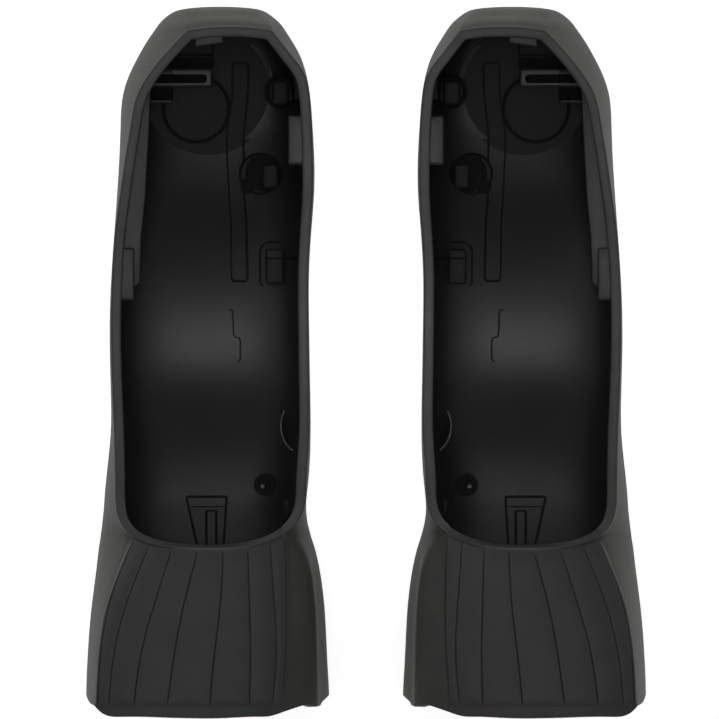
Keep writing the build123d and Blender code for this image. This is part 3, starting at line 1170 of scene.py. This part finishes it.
@dataclass
class InsideMouldings:
    """What the core of the mould leaves on the inside: pegs, lugs, ledges and recesses.

    All places are (x, y, z) in millimetres on the right cover. Solids that are added stay clear of
    the outer skin and recesses leave part of the wall, because both are trimmed to the hollow.
    """

    form: HoodForm
    shell: bpy.types.Object
    seat_radius: float = 6.7
    seat_top: float = 4.1
    flat_x: float = 30.2
    flat_y: float = 52.2
    flat_radius: float = 12.6
    flat_z: float = 2.5
    skin_kept: float = 0.5
    wall_kept: float = 0.75
    look_down_z: float = 33.0  # height that the floor is measured from, over every moulding
    groove_step: float = 0.6
    recess_floor: float = 1.5  # bottom of the moats

    def carve(self) -> None:
        """Adds every moulding to the shell and cuts every recess into it."""
        # The horn's floor takes the matt finish, whose darker colour is painted shade.
        floor_disc = disc(self.flat_radius - 1.0, 0.0, self.flat_z, self.flat_x, self.flat_y)
        self._apply([floor_disc], "UNION", Face.MATT)
        floor_cut = disc(self.flat_radius, self.flat_z, 9.0, self.flat_x, self.flat_y)
        self._apply([floor_cut], "DIFFERENCE", Face.MATT)
        self._read_floor()
        recesses = [*self._floor_lines(), *self._bar_end_recess(), *self._moats()]
        boss = [(0, 1.0), (4.0, 1.0), (4.0, 6.9), (3.6, 7.4), (0, 7.4)]
        # The stud's boss takes the matt finish's painted shade too.
        self._apply([turned(boss, (20.3, 36.0, 0))], "UNION", Face.MATT)
        # The recesses take the recess finish, whose dark colour is painted shade.
        self._apply(recesses, "DIFFERENCE", Face.RECESS)
        # The near wall's pegs and bosses take the matt finish's painted shade too.
        self._apply(self._near_wall_solids(), "UNION", Face.MATT)
        self._apply(self._side_lugs(), "UNION")
        # The bridge and the tab take the rim's paler finish, a painted highlight on their lit tops.
        self._apply(self._horn_solids(), "UNION", Face.RIM)
        # The slots and the lug's groove take the recess finish's painted shade too.
        self._apply(self._late_cuts(), "DIFFERENCE", Face.RECESS)
        # The pad's seat takes the recess finish's painted shade too.
        seat = disc(self.seat_radius, 1.75, self.seat_top, PAD_X, PAD_Y)
        self._apply([seat], "DIFFERENCE", Face.RECESS)

    def _apply(self, tools: list, operation: str, slot: Face = Face.INSIDE) -> None:
        """Joins the tools, trims them to the hollow, and adds them to the shell or cuts them out.

        Args:
            tools: closed solids.
            operation: UNION or DIFFERENCE.
            slot: the finish of the faces that they leave.
        """
        joined = tools[0]
        for tool in tools[1:]:
            combine(joined, tool, "UNION", slot)
        kept = self.skin_kept if operation == "UNION" else self.wall_kept
        combine(joined, self.form.hollow(kept), "INTERSECT", slot)
        combine(self.shell, joined, operation, slot)

    def _read_floor(self) -> None:
        """Keeps a copy of the shell to measure the floor from."""
        mesh = self.shell.data
        faces = [tuple(p.vertices) for p in mesh.polygons]
        self.tree = BVHTree.FromPolygons([v.co for v in mesh.vertices], faces)

    def _floor(self, x: float, y: float) -> float:
        """Height of the inside floor at a place, in millimetres."""
        hit, *_ = self.tree.ray_cast(Vector((x, y, self.look_down_z)) * MM, Vector((0, 0, -1)))
        return hit.z / MM if hit else self.flat_z

    def _floor_lines(self) -> list:
        """The fine grooves that outline the long strip in the floor, and the mould's insert line.

        Returns:
            One cutter for each groove.
        """
        left = [
            (22.9, 57.3), (25.1, 57.3), (25.6, 56.7), (25.6, 50.9), (26.0, 48.8), (26.6, 44.7),
            (26.7, 40.9), (26.2, 30.8), (25.9, 27.0), (25.75, 16.0),
        ]
        right = [
            (22.9, 57.3), (22.5, 56.7), (22.5, 53.4), (22.8, 50.0), (23.1, 46.8), (23.5, 42.6),
            (23.4, 38.5), (23.3, 30.8), (22.95, 27.0), (22.7, 16.0), (23.0, 15.4), (25.4, 15.4),
            (25.75, 16.0),
        ]
        insert = [
            (26.2, 9.9), (25.5, 9.75), (25.35, 5.1), (24.95, 4.65), (24.25, 4.5), (24.05, 4.0),
            (24.05, 0.5), (24.6, -0.15),
        ]
        return [
            self._floor_groove(left, 0.36, 0.7),
            self._floor_groove(right, 0.5, 0.8),
            self._floor_groove(insert, 0.32, 0.6),
        ]

    def _floor_groove(self, route: list, width: float, depth: float) -> bpy.types.Object:
        """A cutter that follows the floor along a route of (x, y) points.

        Args:
            route: the points, in millimetres.
            width: of the groove.
            depth: of the groove below the floor.

        Returns:
            The cutter as a closed mesh object.
        """
        marks = np.array(route)
        lengths = np.linalg.norm(np.diff(marks, axis=0), axis=1)
        knots = np.concatenate([[0], np.cumsum(lengths)])
        at = np.union1d(np.arange(0, knots[-1], self.groove_step), knots)
        middle = np.stack([np.interp(at, knots, marks[:, k]) for k in (0, 1)], axis=1)
        away = unit(np.gradient(middle, axis=0))
        sides = np.stack([-away[:, 1], away[:, 0]], axis=1) * width / 2
        floor = np.array([self._floor(x, y) for x, y in middle])
        rows = []
        for (x, y), (dx, dy), z in zip(middle, sides, floor):
            rows += [(x - dx, y - dy, z - depth), (x + dx, y + dy, z - depth)]
            rows += [(x + dx, y + dy, z + 1.0), (x - dx, y - dy, z + 1.0)]
        last = 4 * (len(middle) - 1)
        faces = [(0, 1, 2, 3), (last + 3, last + 2, last + 1, last)]
        for i in range(len(middle) - 1):
            for k in range(4):
                after = (k + 1) % 4
                faces.append((4 * i + k, 4 * i + 4 + k, 4 * i + 4 + after, 4 * i + after))
        return facing_out(mesh_object("groove", np.array(rows), faces))

    def _bar_end_recess(self) -> list:
        """Cutters of the trapezoid recess near the skirt, with a step at its top and two slots.

        Returns:
            The cutters.
        """
        outline = [(32.0, -37.0), (34.4, -26.1), (34.1, -25.9), (26.9, -25.9), (26.7, -26.1), (27.4, -37.0)]
        step = [(33.6, -27.8), (27.3, -27.8)]
        cutters = [self._floor_groove(outline, 0.5, 0.9), self._floor_groove(step, 0.25, 0.5)]
        for x in (30.6, 28.7):
            cutters.append(self._floor_groove([(x, -28.6), (x, -37.0)], 0.55, 0.9))
        cutters.append(self._floor_groove([(30.6, -28.6), (28.7, -28.6)], 0.35, 0.9))
        return cutters

    def _moats(self) -> list:
        """The hollows round the pegs: by the grooved block, the post, the stud and the nub.

        Returns:
            The cutters.
        """
        nub_floor = self._floor(19.3, -23.6)
        by_block = [(19.7, 14.4), (20.25, 15.0), (20.3, 21.2), (19.9, 22.2), (19.0, 22.8), (16.4, 22.9)]
        return [
            self._floor_groove(by_block, 0.42, 0.9),
            disc(3.6, self.recess_floor, 10.0, 19.55, 36.1),
            disc(1.5, self.recess_floor, 10.0, 22.6, 33.6),
            block((21.5, 36.2, self.recess_floor), (22.1, 39.2, 10.0), 0.1),
            disc(3.4, self.recess_floor, 9.0, POST_X, POST_Y),
            disc(2.2, nub_floor - 1.5, nub_floor + 3.0, 19.3, -23.6),
            self._floor_groove([(15.3, -26.3), (15.3, -31.0)], 1.8, 1.1),
        ]

    def _horn_solids(self) -> list:
        """The bridge with the wire slots over the press pad, and the rim's tab.

        Returns:
            The solids.
        """
        return [
            block((29.4, 52.55, 4.3), (44.0, 56.1, 10.0), 0.45),
            block((36.95, 54.85, 4.3), (44.0, 55.6, 11.5), 0.3),
            block((37.1, 49.5, 4.3), (44.0, 50.15, 9.8), 0.28),
            prism([(32.75, 60.0), (32.2, 64.0), (27.6, 64.0), (27.2, 60.8)], 33.4, 36.6, 0.3),
        ]

    def _near_wall_solids(self) -> list:
        """Pegs and bosses along the near wall, the leaf near the skirt and the shelf in the horn.

        Returns:
            The solids.
        """
        collar = [(0, 1.0), (2.8, 1.0), (2.8, 3.9), (2.4, 4.3), (0, 4.3)]
        leaf_z = self._floor(15.2, -27.5)
        return [
            block((29.2, 58.6, 1.0), (43.0, 64.0, 5.5), 0.5),
            turned(collar, (POST_X, POST_Y, 0)),
            block((14.8, 49.1, 3.0), (18.0, 53.8, 15.0), 0.7),
            block((11.4, 50.0, 3.0), (13.9, 55.0, 13.0), 0.5),
            block((16.75, 33.1, 1.0), (19.9, 37.9, 9.6), 0.7),
            block((15.7, 14.85, 5.0), (19.25, 21.6, 14.6), 0.6),
            block((11.0, 14.85, 5.0), (15.9, 21.6, 11.4), 0.4),
            block((14.85, -28.7, leaf_z - 1.5), (15.5, -26.5, leaf_z + 0.6), 0.2),
        ]

    def _side_lugs(self) -> list:
        """The ledge and bar lug on the far wall, the lug, crescent and nub on the near side.

        Returns:
            The solids.
        """
        nub_z = self._floor(19.8, -23.9)
        nub = [(0, nub_z - 1.4), (0.7, nub_z - 1.4), (0.7, nub_z), (0.4, nub_z + 0.35), (0, nub_z + 0.35)]
        turn = np.linspace(-0.5 * math.pi, 0.5 * math.pi, 33)
        outside = [(11.4 + 5.2 * math.cos(a), -12.3 + 5.9 * math.sin(a)) for a in turn]
        within = [(11.4 + 4.6 * math.cos(a), -12.3 + 5.3 * math.sin(a)) for a in turn[::-1]]
        crescent_z = self._floor(16.2, -12.2)
        ledge = [
            (41.0, 52.6), (41.3, 45.2), (42.1, 30.8), (42.8, 24.0), (43.1, 14.9), (44.6, 13.9),
            (52.0, 13.9), (52.0, 52.6),
        ]
        return [
            prism(ledge, 20.0, 26.5, 0.35),
            block((44.2, 11.75, 26.0), (52.0, 21.7, 33.4), 0.4),
            block((11.0, 37.5, 26.3), (14.9, 46.95, 33.6), 0.5),
            turned(nub, (19.8, -23.9, 0), segments=32),
            prism([*outside, *within], crescent_z - 2.0, crescent_z + 1.6, 0.2),
        ]

    def _late_cuts(self) -> list:
        """Recesses that go into the mouldings: slots, the lug's groove and the press pad's seat.

        Returns:
            The cutters.
        """
        half = 0.85
        turn = np.linspace(0.5 * math.pi, 1.5 * math.pi, 17)
        slot = [(31.25 + half * math.cos(a), 54.15 + half * math.sin(a)) for a in turn]
        slot = [*slot, (41.5, 53.3), (41.5, 55.0)]
        return [
            prism(slot, 0.5, 14.0, 0.1),
            block((29.15, 56.3, 0.5), (43.0, 58.4, 14.0), 0.15),
            block((36.95, 50.15, 0.5), (41.6, 52.6, 14.0), 0.2),
            block((11.0, 19.55, 11.2), (21.0, 19.85, 26.0), 0.05),
        ]


def disc(radius: float, low: float, high: float, x: float, y: float) -> bpy.types.Object:
    """A plain upright disc."""
    return turned([(0, low), (radius, low), (radius, high), (0, high)], (x, y, 0), segments=128)


@dataclass
class PressPad:
    """The round press pad in the horn, over the lever's hidden button."""

    side: Side
    radius: float = 6.3
    low: float = 1.9
    high: float = 3.3

    def build(self) -> bpy.types.Object:
        """Builds the pad as a shallow turned disc with a slightly dished face.

        Returns:
            The pad, trimmed clear of the bridge over it.
        """
        profile = [
            (0, self.low),
            (self.radius - 0.15, self.low),
            (self.radius, self.low + 0.2),
            (self.radius, self.high - 0.4),
            (self.radius - 0.12, self.high - 0.14),
            (self.radius - 0.4, self.high),
            (self.radius - 0.9, self.high),
            (self.radius - 1.3, self.high - 0.05),
            (self.radius * 0.5, self.high - 0.09),
            (self.radius * 0.2, self.high - 0.11),
            (0, self.high - 0.11),
        ]
        pad = turned(profile, (self.side.value * PAD_X, PAD_Y, 0), segments=128)
        pad.name = f"{self.side.name.lower()}_press_pad"
        # The pad takes the matt finish, whose darker colour is painted shade.
        pad.data.materials.append(dress(MATT_PAINTED_SHADE))
        for inner_x, low_y in ((36.95, 50.15), (29.6, 52.7)):
            near, far = sorted((self.side.value * inner_x, self.side.value * 42.0))
            combine(pad, block((near, low_y, 0.0), (far, 56.0, 6.0), 0.3), "DIFFERENCE", Face.GRAINED)
        finish_mesh(pad)
        return pad


def finish_mesh(obj: bpy.types.Object) -> None:
    """Makes a piece's normals point out and its shading smooth except over real edges.

    Args:
        obj: the finished piece, which is changed in place.
    """
    solid = bmesh.new()
    solid.from_mesh(obj.data)
    bmesh.ops.remove_doubles(solid, verts=solid.verts, dist=WELD_M)
    bmesh.ops.recalc_face_normals(solid, faces=solid.faces)
    solid.to_mesh(obj.data)
    solid.free()
    obj.data.shade_smooth()
    obj.data.set_sharp_from_angle(angle=SHARP_ANGLE)


DRESSED: dict = {}


def dress(finish: MouldedRubber) -> bpy.types.Material:
    """The material of a finish, made once.

    Args:
        finish: one of the finishes above.

    Returns:
        Its material.
    """
    if finish.name not in DRESSED:
        DRESSED[finish.name] = finish.material()
    return DRESSED[finish.name]


@dataclass
class HoodCovers:
    """Both covers: one is moulded in full and the other is its mirror image."""

    def build(self) -> dict:
        """Builds the two covers.

        Returns:
            Side to the cover's mesh object.
        """
        form = HoodForm()
        right = form.build()
        for finish in HOOD_FINISHES:
            right.data.materials.append(dress(finish))
        InsideMouldings(form, right).carve()
        finish_mesh(right)
        right.name = "right_hood_cover"
        left = bpy.data.objects.new("left_hood_cover", right.data.copy())
        bpy.context.scene.collection.objects.link(left)
        mesh = left.data
        for vertex in mesh.vertices:
            vertex.co.x = -vertex.co.x
        mesh.flip_normals()
        mesh.update()
        return {Side.LEFT: left, Side.RIGHT: right}


@dataclass
class Studio:
    """Camera, pale floor and soft lights."""

    view_width: float = 137.3 * MM  # width of the picture at half the covers' height
    middle: tuple = (-1.25 * MM, 0.4 * MM, 24 * MM)
    lens: float = 1500.0
    floor_colour: str = "#f4f4f3"

    def build(self) -> None:
        """Sets up the whole studio."""
        self._camera()
        self._floor()
        self._lights()
        self._world()
        bpy.context.scene.view_settings.view_transform = "Standard"

    def _camera(self) -> None:
        """A long lens straight above, so that the covers are seen square on."""
        data = bpy.data.cameras.new("camera")
        data.lens = self.lens
        data.sensor_width = 36.0
        data.clip_end = 20.0
        camera = bpy.data.objects.new("camera", data)
        distance = self.lens / data.sensor_width * self.view_width
        camera.location = Vector(self.middle) + Vector((0, 0, distance))
        bpy.context.scene.collection.objects.link(camera)
        bpy.context.scene.camera = camera

    def _floor(self) -> None:
        """A plain pale sheet that glows a little, like a lit table."""
        points = np.array([(-1500, -1500, 0), (1500, -1500, 0), (1500, 1500, 0), (-1500, 1500, 0)], float)
        floor = mesh_object("floor", points, [(0, 1, 2, 3)])
        made = bpy.data.materials.new("pale_floor")
        made.use_nodes = True
        shader = made.node_tree.nodes["Principled BSDF"]
        shader.inputs["Base Color"].default_value = linear(self.floor_colour)
        shader.inputs["Roughness"].default_value = 0.9
        shader.inputs["Emission Color"].default_value = WHITE
        shader.inputs["Emission Strength"].default_value = 0.8
        floor.data.materials.append(made)

    def _lights(self) -> None:
        """Soft boxes low on three sides and overhead, and a narrow spot straight over each cover."""
        boxes = (
            ("left_box", (-0.75, 0.0, 0.42), 1.0, 0.65),
            ("right_box", (0.75, 0.0, 0.42), 1.0, 0.65),
            ("horn_box", (-0.45, 0.7, 0.3), 0.7, 1.55),
            ("top_box", (0.0, 0.0, 1.3), 0.6, 2.1),
        )
        for name, place, size, power in boxes:
            data = bpy.data.lights.new(name, "AREA")
            data.shape = "SQUARE"
            data.size = size
            data.energy = power
            light = bpy.data.objects.new(name, data)
            light.location = place
            light.rotation_euler = (Vector((0, 0, 0.02)) - Vector(place)).to_track_quat("-Z", "Y").to_euler()
            bpy.context.scene.collection.objects.link(light)
        for side in Side:
            data = bpy.data.lights.new(f"{side.name.lower()}_spot", "SPOT")
            data.energy = 17.0
            data.spot_size = math.radians(4.2)
            data.spot_blend = 1.0
            data.shadow_soft_size = 0.06
            light = bpy.data.objects.new(data.name, data)
            light.location = (side.value * 0.031, 0.007, 1.0)
            bpy.context.scene.collection.objects.link(light)

    def _world(self) -> None:
        """A plain surround, bright at the horizon and dimmer overhead."""
        world = bpy.data.worlds.new("surround")
        world.use_nodes = True
        tree = world.node_tree
        tree.nodes.clear()
        place = add_node(tree, "ShaderNodeTexCoord", {}, {})
        parts = add_node(tree, "ShaderNodeSeparateXYZ", {}, {"Vector": place.outputs["Generated"]})
        level = map_range(tree, parts.outputs["Z"], (0.0, 0.9), (0.32, 0.09))
        back = add_node(tree, "ShaderNodeBackground", {"Color": WHITE}, {"Strength": level})
        add_node(tree, "ShaderNodeOutputWorld", {}, {"Surface": back.outputs["Background"]})
        bpy.context.scene.world = world


def main() -> None:
    """Builds the covers, their pads and the studio, and reports each piece."""
    logging.basicConfig(level=logging.INFO, format="%(name)s: %(message)s")
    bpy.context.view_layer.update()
    Studio().build()
    covers = HoodCovers().build()
    for side in Side:
        word = side.name.lower()
        cover = covers[side]
        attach(cover, f"{word}_cover")
        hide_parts(f"{word}_hood")
        LOG.info("%s: %d faces", cover.name, len(cover.data.polygons))
        pad = PressPad(side).build()
        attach(pad, f"{word}_pad")
        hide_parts(f"{word}_button_pad")
        LOG.info("%s: %d faces", pad.name, len(pad.data.polygons))


if __name__ == "__main__":
    main()
